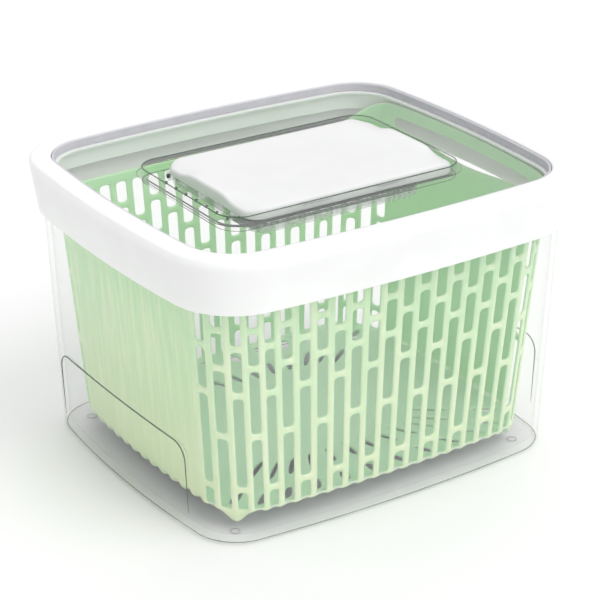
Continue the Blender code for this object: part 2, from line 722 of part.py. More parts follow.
def skin_grid(skins, spans):
    """Joins the outer and inner skins round the outside, the rim and every opening."""
    outer, inner = skins
    lines = len(outer[0])
    rows = len(outer)
    solid = {}
    hand_rows = [k for k, kinds in enumerate(spans) if "hand" in kinds]
    for row in range(rows - 1):
        for line in range(lines):
            slot_cell = line % 2 == 0
            index = line // 2
            open_cell = slot_cell and is_open(index, spans[row])
            if row in hand_rows:
                here = outer[row][line]
                there = outer[row][(line + 1) % lines]
                reach = max(abs(here.y), abs(there.y))
                open_cell = reach < HAND_SLOT_HALF and abs(here.x) > HALF[0] / 2
            solid[row, line] = not open_cell
    bm = bmesh.new()
    used = {}

    def vert(skin, row, line):
        key = (skin, row, line % lines)
        if key not in used:
            used[key] = bm.verts.new(skins[skin][row][line % lines])
        return used[key]

    for (row, line), filled in solid.items():
        if not filled:
            continue
        corners = ((row, line), (row, line + 1), (row + 1, line + 1), (row + 1, line))
        bm.faces.new([vert(0, r, c) for r, c in reversed(corners)])
        bm.faces.new([vert(1, r, c) for r, c in corners])
        neighbours = ((row - 1, line), (row, (line + 1) % lines), (row + 1, line),
                      (row, (line - 1) % lines))
        for side, key in enumerate(neighbours):
            at_hub = key[0] == rows - 1
            if at_hub or solid.get(key, False):
                continue
            (r0, c0), (r1, c1) = corners[side], corners[(side + 1) % 4]
            bm.faces.new((vert(0, r0, c0), vert(0, r1, c1), vert(1, r1, c1), vert(1, r0, c0)))
    hub = rows - 1
    bm.faces.new([vert(0, hub, k) for k in reversed(range(lines))])
    bm.faces.new([vert(1, hub, k) for k in range(lines)])
    bmesh.ops.recalc_face_normals(bm, faces=bm.faces)
    return bm


clear_scene()
make_bin()
make_basket()
make_lid_frame()
make_lid_seal()
make_lid_panel()
make_vent_housing()
make_vent_cover()
make_filter_door()
make_carbon_filter()
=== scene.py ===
"""Vented produce keeper: the detailed visual model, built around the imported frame.

Lengths are in millimetres in the frame's own axes and become metres when a mesh is made.
"""

import math

import bmesh
import bpy
from mathutils import Matrix, Vector


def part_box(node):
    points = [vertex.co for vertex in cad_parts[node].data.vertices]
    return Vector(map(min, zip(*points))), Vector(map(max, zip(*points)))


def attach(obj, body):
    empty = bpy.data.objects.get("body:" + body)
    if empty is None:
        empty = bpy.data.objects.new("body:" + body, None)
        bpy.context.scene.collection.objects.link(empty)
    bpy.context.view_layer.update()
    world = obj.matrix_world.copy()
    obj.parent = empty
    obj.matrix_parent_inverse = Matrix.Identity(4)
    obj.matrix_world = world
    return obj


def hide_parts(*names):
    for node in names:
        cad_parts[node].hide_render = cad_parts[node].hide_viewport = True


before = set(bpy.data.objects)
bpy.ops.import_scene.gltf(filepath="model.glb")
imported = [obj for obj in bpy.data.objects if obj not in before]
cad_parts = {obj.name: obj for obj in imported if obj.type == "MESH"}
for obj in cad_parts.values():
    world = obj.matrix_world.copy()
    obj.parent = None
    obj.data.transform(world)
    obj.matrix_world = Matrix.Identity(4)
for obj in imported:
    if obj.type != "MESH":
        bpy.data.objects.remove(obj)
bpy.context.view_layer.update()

MM = 0.001
GAP = 0.3


def node_box(name):
    """A node's lowest and highest corner, in millimetres."""
    low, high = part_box(name)
    return low / MM, high / MM


# Places taken from the frame
FRAME_LOW, FRAME_HIGH = node_box("lid_frame")
BIN_HIGH = node_box("bin")[1]
BASKET_LOW = node_box("basket")[0]
PANEL_LOW, PANEL_HIGH = node_box("lid_panel")
SEAL_LOW, SEAL_HIGH = node_box("lid_seal")
COVER_LOW, COVER_HIGH = node_box("vent_cover")
DOOR_LOW, DOOR_HIGH = node_box("filter_door")
FILTER_LOW, FILTER_HIGH = node_box("carbon_filter")
FILTER_R = 5.0
FILTER_CRIMP = 0.12      # half thickness at the crimped edge, as a share of the middle's

HALF_X = FRAME_HIGH.x
HALF_Y = FRAME_HIGH.y
TOP_Z = FRAME_HIGH.z

# Lid frame
CORNER_R = 35.0
BOW = 2.7
FRAME_WIDTH = 10.3
SKIRT_DRAFT = 3.5
SKIRT_WALL = 1.4
PLUG_WALL = 1.9
EDGE_R = 2.2
INNER_EDGE_R = 0.8
ROOF_Z = TOP_Z - 4.0
PLUG_Z = TOP_Z - 14.5
LEDGE_WIDTH = 3.0
LEDGE_THICK = 1.3
LEDGE_Z = PANEL_LOW.z - GAP
SEAL_THICK = 1.1
SEAL_ROUND = 0.5
PANEL_EDGE = 0.25

# Bin
BIN_INSET = HALF_X - BIN_HIGH.x
BIN_WALL = 2.5
BIN_FLOOR = 3.0
BIN_FILLET = 3.0
BASE_TUCK = 5.0
BASE_R = 23.0
BASE_BOW = 3.5
GRIP_HALF_WIDTH = 57.0
GRIP_LOW = 10.0
GRIP_HIGH = 44.5
GRIP_DEPTH = 1.2
GRIP_CORNER_R = 8.0
GRIP_STEP = 0.9
GRIP_BEAD = 0.34
GRIP_BEAD_INSET = 0.15
GRIP_LINE_ZS = (GRIP_LOW + 1, 14.0, 20.0, 28.0)
GRIP_LINE_HALF = 44
GRIP_LINE_STEP = 4
RIM_SOFTEN = 0.25
RIM_SOFTEN_Z = 0.8
BASE_LINE_INSET = 1.1
BASE_LINE_Z = 1.0
BASE_LINE_R = 0.2
DIMPLE_X = 78.0
DIMPLE_Y = 66.0
DIMPLE_R = 2.2
DIMPLE_Z = 0.4
DIMPLE_BEAD = 0.14

# Basket
SIDE_FIT = 0.7
FLOOR_Z = 8.6
FOOT_Z = BASKET_LOW.z
TUCK_X = 9.6
TUCK_Y = 7.2
BASKET_BOW = 2.0
BASKET_R_TOP = 26.5
BASKET_R_BASE = 25.0
WALL = 2.0
BEND_R = 3.5
LOW_RIM_Z = TOP_Z - 21.0
HIGH_RIM_Z = LEDGE_Z - LEDGE_THICK - GAP
SWOOP_START = 5.0
SWOOP_LENGTH = 24.0
HAND_HALF = 56.0
HAND_DROP = 6.6
HAND_MID = 9.5
HAND_END = 4.6
SLOT_TOP_Z = LOW_RIM_Z - 5.0
SLOT_LOW_Z = FLOOR_Z + BEND_R
PLAIN_ROW = 1.2
SLOT_SHARE = 0.56
BRIDGE = 3.2
BRIDGE_EASE = 2.0
BEND_STEPS = 3
RIM_ROWS = 4
BRIDGES = {"A": (0.881, 0.698, 0.361), "B": (0.797, 0.569, 0.093)}
COLUMN_PITCH = 8.8
COLUMNS_LONG = 7
COLUMNS_BEND = 3
COLUMNS_END = 8
COLUMNS_SLOTTED_END = 2
COLUMNS_QUARTER = COLUMNS_END + COLUMNS_BEND + COLUMNS_LONG
FLOOR_BRICKS = ((0.97, 0.84), (0.72, 0.54))
FLOOR_HUB = 0.40
FOOT_HEEL = 0.985
RIM_EASE = 1.0
HOLLOW_EDGE = 0.25      # the hollow in each slot column where the wall bends under
HOLLOW_DEPTH = 1.5
FLUTE_SCALE = 36.0     # faint flutes down the end walls, in bands a metre over twenty pi

# Vent housing, cover and filter tray
HOUSING_HALF_X = 63.8
HOUSING_HALF_Y = 42.0
HOUSING_R = 11.2
HOUSING_WALL = 1.2
HOUSING_Z = PANEL_HIGH.z + 0.7
RECESS_Z = HOUSING_Z - 6.0
HOUSING_LOW_Z = RECESS_Z - 1.2
FLANGE_REACH = 2.5
FLANGE_THICK = 1.2
TAB_X = 20.0
TAB_WIDTH = 15.0
TAB_HEIGHT = 1.1
VENT_R = 1.0
VENT_PITCH = 8.8
VENT_COUNT = 7
VENT_INSET = 7.3
VENT_SHADOW_OUTER = 0.7
VENT_SHADOW_RIM = 0.6
VENT_SHADOW_HOLE = 0.3
VENT_SHADOW_DEPTH = 1.0
COVER_R = 9.0
COVER_EDGE = 1.4
COVER_FOOT_EDGE = 0.4
COVER_TOP_RINGS = 14
CREST_REACH = 9.0
CREST_RISE = 0.9
CREST_HALF = 12.0
CREST_FALL_WIDTH = 12.0
CREST_FALL = 1.7
DOOR_WALL = 1.2
DOOR_R = 8.0
DOOR_BACK_Y = HOUSING_HALF_Y - 3.0
BARREL_R = (DOOR_HIGH.z - DOOR_LOW.z) / 2
DOOR_HALF_X = 45.0
DOOR_MIDDLE_X = -3.0
HINGE_BITE = 0.5        # how far the barrel runs into the tray's back wall
BARREL_HALF = DOOR_HALF_X - BARREL_R
HINGE = Vector((DOOR_MIDDLE_X, DOOR_BACK_Y + BARREL_R - HINGE_BITE, DOOR_LOW.z + BARREL_R))
PIN_R = 1.0
LUG_THICK = 2.4
LUG_HALF = 2.4


# ---------------------------------------------------------------- mesh helpers

def smooth_step(value):
    value = min(max(value, 0.0), 1.0)
    return value * value * (3 - 2 * value)


def quarter_arcs(half_x, half_y, radius, bow):
    """Centre, radius, first and last angle of the three arcs from +X round to +Y."""
    bow = max(bow, 0.001)
    big_x = (half_y - radius) ** 2 / (2 * bow)
    big_y = (half_x - radius) ** 2 / (2 * bow)
    side_x = Vector((half_x - big_x, 0.0))
    side_y = Vector((0.0, half_y - big_y))
    across = side_y - side_x
    span = across.length
    along = ((big_x - radius) ** 2 - (big_y - radius) ** 2 + span ** 2) / (2 * span)
    rise = math.sqrt((big_x - radius) ** 2 - along ** 2)
    unit = across / span
    centre = side_x + unit * along + Vector((-unit.y, unit.x)) * rise
    start = math.atan2(centre.y - side_x.y, centre.x - side_x.x)
    stop = math.atan2(centre.y - side_y.y, centre.x - side_y.x)
    return (
        (side_x, big_x, 0.0, start),
        (centre, radius, start, stop),
        (side_y, big_y, stop, math.pi / 2),
    )


def quadrant(half_x, half_y, radius, bow, stations):
    points = []
    for (middle, reach, low, high), shares in zip(quarter_arcs(half_x, half_y, radius, bow),
                                                  stations):
        for share in shares:
            angle = low + (high - low) * share
            points.append(middle + reach * Vector((math.cos(angle), math.sin(angle))))
    return points


def whole_loop(quarter, shared):
    """Mirrors a quarter into a closed loop. shared says that its ends lie on the axes."""
    flipped = list(reversed(quarter))
    cut = 1 if shared else 0
    loop = list(quarter)
    loop += [Vector((-p.x, p.y)) for p in flipped[cut:]]
    loop += [Vector((-p.x, -p.y)) for p in quarter[cut:]]
    loop += [Vector((p.x, -p.y)) for p in flipped[cut:len(flipped) - cut]]
    return loop


def outline(half_x, half_y, radius, bow=0.0, short=10, corner=16, long=12):
    """Rounded rectangle with bowed sides. short and long count the steps of half a side."""
    stations = (
        [k / short for k in range(short)],
        [k / corner for k in range(corner)],
        [k / long for k in range(long + 1)],
    )
    return whole_loop(quadrant(half_x, half_y, radius, bow, stations), True)


def ring_at(loop, z):
    return [Vector((p.x, p.y, z)) for p in loop]


def bridge_rows(bm, rows, closed=False):
    verts = [[bm.verts.new(p) for p in ring] for ring in rows]
    pairs = list(zip(verts, verts[1:]))
    if closed:
        pairs.append((verts[-1], verts[0]))
    count = len(verts[0])
    for low, high in pairs:
        for k in range(count):
            nxt = (k + 1) % count
            bm.faces.new((low[k], low[nxt], high[nxt], high[k]))
    return verts


def loft(rings, closed=False):
    """Skins rings of equal count, up the outside and down the inside."""
    bm = bmesh.new()
    verts = bridge_rows(bm, rings, closed)
    if not closed:
        bm.faces.new(list(reversed(verts[0])))
        bm.faces.new(verts[-1])
    return bm


def piece(bm, name, body, mat, replaces=(), sharp=40.0):
    """Makes a finished, named visual piece from a bmesh in millimetres."""
    bmesh.ops.recalc_face_normals(bm, faces=bm.faces)
    bmesh.ops.scale(bm, vec=Vector((MM, MM, MM)), verts=bm.verts)
    mesh = bpy.data.meshes.new(name)
    bm.to_mesh(mesh)
    bm.free()
    mesh.shade_smooth()
    if sharp:
        mesh.set_sharp_from_angle(angle=math.radians(sharp))
    obj = bpy.data.objects.new(name, mesh)
    bpy.context.scene.collection.objects.link(obj)
    mesh.materials.append(mat)
    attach(obj, body)
    if replaces:
        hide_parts(*replaces)
    return obj


def bead_line(name, points, radius, body, mat, closed=False):
    """A fine round bead along a line of points. An open one thins out at its ends."""
    curve = bpy.data.curves.new(name, "CURVE")
    curve.dimensions = "3D"
    curve.bevel_depth = radius * MM
    curve.bevel_resolution = 2
    spline = curve.splines.new("POLY")
    spline.use_cyclic_u = closed
    spline.points.add(len(points) - 1)
    for k, p in enumerate(points):
        spline.points[k].co = (*(p * MM), 1.0)
        if not closed:
            fade = min(k, len(points) - 1 - k) / 4
            spline.points[k].radius = 0.25 + 0.75 * min(fade, 1.0)
    bead = bpy.data.objects.new(name, curve)
    bpy.context.scene.collection.objects.link(bead)
    curve.materials.append(MATS[mat])
    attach(bead, body)


def round_section(points, radii, steps=5):
    """Rounds the corners of a closed (inset, z) section by the radius given for each."""
    result = []
    count = len(points)
    for k, (corner, radius) in enumerate(zip(points, radii)):
        here = Vector(corner)
        before = Vector(points[k - 1]) - here
        after = Vector(points[(k + 1) % count]) - here
        if radius <= 0:
            result.append(tuple(here))
            continue
        reach = min(radius, before.length * 0.99, after.length * 0.49)
        start = here + before.normalized() * reach
        stop = here + after.normalized() * reach
        for step in range(steps + 1):
            t = step / steps
            point = start * (1 - t) ** 2 + here * 2 * t * (1 - t) + stop * t ** 2
            result.append(tuple(point))
    return result


# ---------------------------------------------------------------- materials

class Nodes:
    """Short way to build one material's node tree."""

    def __init__(self, name):
        self.mat = bpy.data.materials.new(name)
        self.mat.use_nodes = True
        self.tree = self.mat.node_tree
        self.shader = self.tree.nodes["Principled BSDF"]
        self.coords = self.tree.nodes.new("ShaderNodeTexCoord").outputs["Object"]

    def link(self, source, target):
        self.tree.links.new(source, target)

    def noise(self, scale, detail=3.0, roughness=0.5):
        node = self.tree.nodes.new("ShaderNodeTexNoise")
        node.inputs["Scale"].default_value = scale
        node.inputs["Detail"].default_value = detail
        node.inputs["Roughness"].default_value = roughness
        self.link(self.coords, node.inputs["Vector"])
        return node.outputs["Fac"]

    def span(self, source, low, high, from_low=0.0, from_high=1.0):
        node = self.tree.nodes.new("ShaderNodeMapRange")
        node.inputs["From Min"].default_value = from_low
        node.inputs["From Max"].default_value = from_high
        node.inputs["To Min"].default_value = low
        node.inputs["To Max"].default_value = high
        self.link(source, node.inputs["Value"])
        return node.outputs["Result"]

    def axis(self, name):
        node = self.tree.nodes.new("ShaderNodeSeparateXYZ")
        self.link(self.coords, node.inputs["Vector"])
        return node.outputs[name]

    def mix(self, factor, first, second):
        node = self.tree.nodes.new("ShaderNodeMix")
        node.data_type = "RGBA"
        self.link(factor, node.inputs["Factor"])
        for socket, value in (("A", first), ("B", second)):
            target = [s for s in node.inputs if s.name == socket and s.type == "RGBA"][0]
            if isinstance(value, tuple):
                target.default_value = (*value, 1.0)
            else:
                self.link(value, target)
        return [s for s in node.outputs if s.type == "RGBA"][0]

    def maths(self, operation, first, second):
        node = self.tree.nodes.new("ShaderNodeMath")
        node.operation = operation
        node.use_clamp = operation in ("ADD", "MULTIPLY", "POWER")
        for socket, value in zip(node.inputs, (first, second)):
            if isinstance(value, (int, float)):
                socket.default_value = value
            else:
                self.link(value, socket)
        return node.outputs[0]

    def facing(self, blend):
        node = self.tree.nodes.new("ShaderNodeLayerWeight")
        node.inputs["Blend"].default_value = blend
        return node.outputs["Facing"]

    def edges(self, low, high):
        """1 on convex edges, which is where handling wears and polishes plastic, and where the
        basket gets its painted highlight.
        """
        node = self.tree.nodes.new("ShaderNodeNewGeometry")
        return self.span(node.outputs["Pointiness"], 0.0, 1.0, low, high)

    def bump(self, source, strength, distance):
        node = self.tree.nodes.new("ShaderNodeBump")
        node.inputs["Strength"].default_value = strength
        node.inputs["Distance"].default_value = distance
        self.link(source, node.inputs["Height"])
        self.link(node.outputs["Normal"], self.shader.inputs["Normal"])

    def colour(self, source):
        self.link(source, self.shader.inputs["Base Color"])

    def roughness(self, source):
        self.link(source, self.shader.inputs["Roughness"])

    def alpha(self, source):
        self.link(source, self.shader.inputs["Alpha"])


def white_plastic(name, tint, rough_low, rough_high):
    """Satin moulded plastic: faint mottling, fine grain, edges a little more polished."""
    n = Nodes(name)
    n.shader.inputs["IOR"].default_value = 1.5
    n.shader.inputs["Subsurface Weight"].default_value = 0.35
    n.shader.inputs["Subsurface Radius"].default_value = (1.0, 0.97, 1.0)
    n.shader.inputs["Subsurface Scale"].default_value = 0.006
    dark = tuple(c * 0.975 for c in tint)
    n.colour(n.mix(n.span(n.noise(60.0, 4.0), 0.0, 1.0, 0.35, 0.65), dark, tint))
    edge_wear_and_glint = n.edges(0.5, 0.58)
    grain = n.span(n.noise(900.0, 2.0), rough_low, rough_high, 0.3, 0.7)
    n.roughness(n.maths("SUBTRACT", grain, n.maths("MULTIPLY", edge_wear_and_glint, 0.06)))
    n.bump(n.noise(1800.0, 2.0), 0.05, 0.0001)
    return n.mat


def clear_plastic(name, tint, edge_on_shade_tint, face_alpha, edge_alpha, rough, power=5.0):
    """Clear moulded plastic: open face on, and grey where the wall is seen edge on, a painted shade
    for what the wall reflects edge on.
    """
    n = Nodes(name)
    n.shader.inputs["IOR"].default_value = 1.52
    rim = n.maths("POWER", n.facing(0.5), power)
    # Painted shade: the colour turns to the grey second tint at grazing angles.
    n.colour(n.mix(rim, tint, edge_on_shade_tint))
    cloud = n.span(n.noise(14.0, 3.0), -0.008, 0.012)
    n.alpha(n.maths("ADD", n.span(rim, face_alpha, edge_alpha), cloud))
    n.roughness(n.span(n.noise(220.0, 3.0), rough, rough + 0.05, 0.3, 0.7))
    n.bump(n.noise(45.0, 2.0), 0.02, 0.0003)
    return n.mat


def painted_edge_shade(name, low, high):
    """Painted shade: the thin dark line that a clear wall shows along a step or an edge, drawn as a
    dark bead.
    """
    n = Nodes(name)
    n.colour(n.mix(n.noise(40.0, 3.0), (0.05, 0.10, 0.06), (0.20, 0.26, 0.21)))
    n.alpha(n.span(n.noise(25.0, 2.0), low, high, 0.35, 0.65))
    n.roughness(n.span(n.noise(200.0, 2.0), 0.1, 0.2))
    return n.mat


def basket_plastic():
    """Mint translucent plastic, mottled and streaked, with painted light: cream low down for light
    bounced up from the floor, a deeper green of painted shade on inward faces, and painted
    highlights on outward edges.
    """
    n = Nodes("basket_mint")
    n.shader.inputs["IOR"].default_value = 1.49
    n.shader.inputs["Subsurface Weight"].default_value = 0.7
    n.shader.inputs["Subsurface Radius"].default_value = (0.9, 1.0, 0.75)
    n.shader.inputs["Subsurface Scale"].default_value = 0.004
    # Painted light: cream low down, standing in for light bounced up from the floor, turning
    # greener higher up.
    floor_bounce_glow = n.span(n.axis("Z"), 0.0, 1.0, 0.004, 0.125)
    tone = n.mix(floor_bounce_glow, (0.73, 0.86, 0.52), (0.49, 0.77, 0.47))
    mottle = n.span(n.noise(38.0, 4.0), 0.0, 0.35, 0.35, 0.7)
    tone = n.mix(mottle, tone, (0.58, 0.82, 0.52))
    stretch = n.tree.nodes.new("ShaderNodeMapping")
    stretch.inputs["Scale"].default_value = (1.0, 1.0, 0.06)
    n.link(n.coords, stretch.inputs["Vector"])
    streak = n.tree.nodes.new("ShaderNodeTexNoise")
    streak.inputs["Scale"].default_value = 330.0
    streak.inputs["Detail"].default_value = 3.0
    n.link(stretch.outputs["Vector"], streak.inputs["Vector"])
    tone = n.mix(n.span(streak.outputs["Fac"], 0.0, 0.55, 0.42, 0.68), tone, (0.84, 0.91, 0.62))
    # Painted shade: faces turned inward, rib sides included, take a deeper green; faces turned
    # outward keep the lit tone.
    outward = n.tree.nodes.new("ShaderNodeVectorMath")
    outward.operation = "DOT_PRODUCT"
    n.link(n.coords, outward.inputs[0])
    n.link(n.coords.node.outputs["Normal"], outward.inputs[1])
    outside = n.span(outward.outputs["Value"], 0.0, 1.0, 0.02, 0.075)
    tone = n.mix(outside, (0.53, 0.78, 0.51), tone)
    # Painted highlight: convex edges of outward faces lightened to pale cream.
    edge_wear_and_glint = n.maths("MULTIPLY", n.edges(0.5, 0.6), n.maths("MULTIPLY", outside, 0.35))
    n.colour(n.mix(edge_wear_and_glint, tone, (0.86, 0.94, 0.70)))
    n.roughness(n.span(n.noise(600.0, 3.0), 0.32, 0.46, 0.3, 0.7))
    flutes = n.tree.nodes.new("ShaderNodeTexWave")
    flutes.bands_direction = "Y"
    flutes.inputs["Scale"].default_value = FLUTE_SCALE
    flutes.inputs["Distortion"].default_value = 0.0
    n.link(n.coords, flutes.inputs["Vector"])
    on_ends = n.span(n.maths("ABSOLUTE", n.axis("X"), 0.0), 0.0, 1.0, 0.084, 0.088)
    n.bump(n.maths("MULTIPLY", flutes.outputs["Fac"], on_ends), 0.35, 0.0006)
    return n.mat


def seal_rubber():
    n = Nodes("seal_lilac_grey")
    tone = n.mix(n.noise(90.0, 3.0), (0.54, 0.52, 0.58), (0.64, 0.62, 0.68))
    n.colour(tone)
    n.roughness(n.span(n.noise(700.0, 2.0), 0.42, 0.6, 0.3, 0.7))
    n.bump(n.noise(2400.0, 2.0), 0.1, 0.0001)
    return n.mat


def frosted_plastic():
    """The tray: clear plastic with a fine moulded grid that scatters light."""
    n = Nodes("tray_frosted")
    wave = n.tree.nodes.new("ShaderNodeTexWave")
    wave.inputs["Scale"].default_value = 110.0
    wave.inputs["Distortion"].default_value = 0.6
    n.link(n.coords, wave.inputs["Vector"])
    n.colour(n.mix(wave.outputs["Fac"], (0.74, 0.82, 0.75), (0.88, 0.92, 0.89)))
    n.alpha(n.span(wave.outputs["Fac"], 0.20, 0.34))
    n.roughness(n.span(n.noise(300.0, 3.0), 0.2, 0.4, 0.3, 0.7))
    n.bump(wave.outputs["Fac"], 0.35, 0.0004)
    return n.mat


def filter_fabric():
    """Non-woven sachet over dark granules."""
    n = Nodes("filter_nonwoven")
    cell = n.tree.nodes.new("ShaderNodeTexVoronoi")
    cell.inputs["Scale"].default_value = 700.0
    n.link(n.coords, cell.inputs["Vector"])
    weave = n.mix(cell.outputs["Distance"], (0.86, 0.87, 0.85), (0.66, 0.69, 0.66))
    n.colour(n.mix(n.noise(120.0, 4.0), weave, (0.88, 0.89, 0.87)))
    n.roughness(n.span(n.noise(500.0, 3.0), 0.82, 0.96, 0.3, 0.7))
    n.bump(cell.outputs["Distance"], 0.5, 0.0004)
    return n.mat


def dark_opening():
    n = Nodes("vent_opening_shadow")
    n.colour(n.mix(n.noise(300.0, 2.0), (0.05, 0.06, 0.055), (0.10, 0.12, 0.11)))
    n.roughness(n.span(n.noise(500.0, 2.0), 0.5, 0.7))
    return n.mat


MATS = {
    "white": white_plastic("lid_white_satin", (0.93, 0.93, 0.935), 0.30, 0.42),
    "cover": white_plastic("cover_white_satin", (0.81, 0.81, 0.815), 0.34, 0.46),
    "bin": clear_plastic("bin_clear", (0.84, 0.84, 0.87), (0.50, 0.50, 0.53),
                         0.075, 0.85, 0.04, 8.0),
    "panel": clear_plastic("panel_clear", (0.90, 0.91, 0.91), (0.62, 0.64, 0.64),
                           0.035, 0.35, 0.04),
    "housing": clear_plastic("housing_clear", (0.86, 0.88, 0.87), (0.74, 0.77, 0.75),
                             0.02, 0.22, 0.04, 6.0),
    # Dark beads of painted shade along clear edges and steps.
    "edge": painted_edge_shade("clear_edge_painted_shade", 0.45, 0.9),
    "soft_edge_shade": painted_edge_shade("clear_edge_soft_painted_shade", 0.05, 0.5),
    "basket": basket_plastic(),
    "seal": seal_rubber(),
    "tray": frosted_plastic(),
    "filter": filter_fabric(),
    "opening": dark_opening(),
}


# ---------------------------------------------------------------- bin

def bin_half(z):
    share = z / BIN_HIGH.z
    return (
        HALF_X - BIN_INSET - BASE_TUCK * (1 - share),
        HALF_Y - BIN_INSET - BASE_TUCK * (1 - share),
        BASE_R + (CORNER_R - BIN_INSET - BASE_R) * share,
        BASE_BOW + (BOW - BASE_BOW) * share,
    )


def bin_ring(z, inset=0.0, lift=None):
    half_x, half_y, radius, bow = bin_half(z)
    loop = outline(half_x - inset, half_y - inset, radius - inset, bow, short=66)
    return ring_at(loop, z if lift is None else lift)


def grip_depth(y, z):
    """How far the finger grip sinks the end wall at a point."""
    over_y = abs(y) - (GRIP_HALF_WIDTH - GRIP_CORNER_R)
    over_z = z - (GRIP_HIGH - GRIP_CORNER_R)
    if over_y > 0 and over_z > 0:
        inside = GRIP_CORNER_R - math.hypot(over_y, over_z)
    else:
        inside = GRIP_CORNER_R - max(over_y, over_z)
    slope = (z - GRIP_LOW) / (GRIP_HIGH - GRIP_LOW)
    return GRIP_DEPTH * min(max(slope, 0.0), 1.0) * smooth_step(inside / GRIP_STEP)


def with_grips(ring):
    for p in ring:
        if abs(p.x) > HALF_X * 0.7:
            p.x -= math.copysign(grip_depth(p.y, p.z), p.x)
    return ring


def make_bin():
    steps = 6
    rings = []
    for step in range(steps + 1):
        turn = step / steps * math.pi / 2
        tuck = BIN_FILLET * (1 - math.sin(turn))
        rings.append(bin_ring(BIN_FILLET, tuck, BIN_FILLET * (1 - math.cos(turn))))
    z = GRIP_LOW
    while z < GRIP_HIGH - GRIP_CORNER_R:
        rings.append(with_grips(bin_ring(z)))
        z += 2.6
    while z < GRIP_HIGH + GRIP_STEP:
        rings.append(with_grips(bin_ring(z)))
        z += 0.45
    top = BIN_HIGH.z
    rings += [bin_ring(z) for z in (60.0, 80.0, 100.0, top - RIM_SOFTEN_Z)]
    rings += [bin_ring(top, RIM_SOFTEN), bin_ring(top, BIN_WALL - RIM_SOFTEN)]
    rings.append(bin_ring(top - RIM_SOFTEN_Z, BIN_WALL))
    rings += [bin_ring(z, BIN_WALL) for z in (100.0, 60.0, 30.0)]
    for step in range(steps + 1):
        turn = step / steps * math.pi / 2
        tuck = BIN_WALL + BIN_FILLET * (1 - math.cos(turn))
        z = BIN_FLOOR + BIN_FILLET * (1 - math.sin(turn))
        rings.append(bin_ring(BIN_FLOOR + BIN_FILLET, tuck, z))
    return piece(loft(rings), "bin_shell", "bin", MATS["bin"], ("bin",))


def make_grip_edges():
    """A fine dark bead along each finger grip's step: painted shade of the step in the clear wall.
    """
    steps = 8
    for side, label in ((-1, "left"), (1, "right")):
        half = [(GRIP_HALF_WIDTH, z) for z in GRIP_LINE_ZS]
        for step in range(steps + 1):
            turn = step / steps * math.pi / 2
            half.append((GRIP_HALF_WIDTH - GRIP_CORNER_R * (1 - math.cos(turn)),
                         GRIP_HIGH - GRIP_CORNER_R * (1 - math.sin(turn))))
        across = range(GRIP_LINE_HALF, -GRIP_LINE_HALF - 1, -GRIP_LINE_STEP)
        top = [(y, GRIP_HIGH) for y in across]
        path = half + top + [(-y, z) for y, z in reversed(half)]
        points = []
        for y, z in path:
            half_x, half_y, _, bow = bin_half(z)
            lean = bow * (y / half_y) ** 2
            points.append(Vector((side * (half_x - lean - GRIP_BEAD_INSET), y, z)))
        bead_line("grip_edge_shade_" + label, points, GRIP_BEAD, "bin", "edge")


def make_base_edge():
    """The fine dark line round the bin's base, where the wall turns under: a bead of painted shade.
    """
    ring = bin_ring(BIN_FILLET, BASE_LINE_INSET, BASE_LINE_Z)
    bead_line("bin_base_edge_shade", ring, BASE_LINE_R, "bin", "edge", True)


def make_dimples():
    """Small round marks moulded under the bin's four corners, drawn as fine circles of painted
    shade round their edges.
    """
    count = 24
    for side_x in (-1, 1):
        for side_y in (-1, 1):
            ring = []
            for k in range(count):
                turn = k / count * math.tau
                ring.append(Vector((side_x * DIMPLE_X + DIMPLE_R * math.cos(turn),
                                    side_y * DIMPLE_Y + DIMPLE_R * math.sin(turn), DIMPLE_Z)))
            label = ("right" if side_x > 0 else "left") + ("_back" if side_y > 0 else "_front")
            bead_line("bin_dimple_shade_" + label, ring, DIMPLE_BEAD, "bin",
                      "soft_edge_shade", True)


# ---------------------------------------------------------------- lid

def lid_ring(inset, z):
    return ring_at(outline(HALF_X - inset, HALF_Y - inset, CORNER_R - inset, BOW,
                           corner=24), z)


def skirt_inset(z):
    drop = max(TOP_Z - EDGE_R - z, 0.0)
    return SKIRT_DRAFT * drop / (TOP_Z - FRAME_LOW.z - EDGE_R)


def make_lid_frame():
    low = FRAME_LOW.z
    section = [
        (skirt_inset(low), low, 0.5),
        (0.0, TOP_Z - EDGE_R, 0.0),
        (0.0, TOP_Z, EDGE_R),
        (FRAME_WIDTH, TOP_Z, INNER_EDGE_R),
        (FRAME_WIDTH, LEDGE_Z, 0.0),
        (FRAME_WIDTH + LEDGE_WIDTH, LEDGE_Z, 0.3),
        (FRAME_WIDTH + LEDGE_WIDTH, LEDGE_Z - LEDGE_THICK, 0.3),
        (FRAME_WIDTH, LEDGE_Z - LEDGE_THICK, 0.3),
        (FRAME_WIDTH, PLUG_Z, 0.5),
        (FRAME_WIDTH - PLUG_WALL, PLUG_Z, 0.5),
        (FRAME_WIDTH - PLUG_WALL, ROOF_Z, 0.4),
        (skirt_inset(ROOF_Z) + SKIRT_WALL, ROOF_Z, 0.4),
        (skirt_inset(low) + SKIRT_WALL, low, 0.5),
    ]
    rounded = round_section([(a, b) for a, b, _ in section], [r for _, _, r in section])
    bm = loft([lid_ring(inset, z) for inset, z in rounded], closed=True)
    piece(bm, "lid_frame_body", "lid", MATS["white"], ("lid_frame",))


def make_lid_seal():
    outer = HALF_X - SEAL_HIGH.x
    inner = outer + SEAL_THICK
    section = [(outer, SEAL_LOW.z), (outer, SEAL_HIGH.z), (inner, SEAL_HIGH.z), (inner, SEAL_LOW.z)]
    rounded = round_section(section, [0.0, SEAL_ROUND, SEAL_ROUND, 0.0])
    bm = loft([lid_ring(inset, z) for inset, z in rounded], closed=True)
    piece(bm, "lid_seal_band", "lid", MATS["seal"], ("lid_seal",))


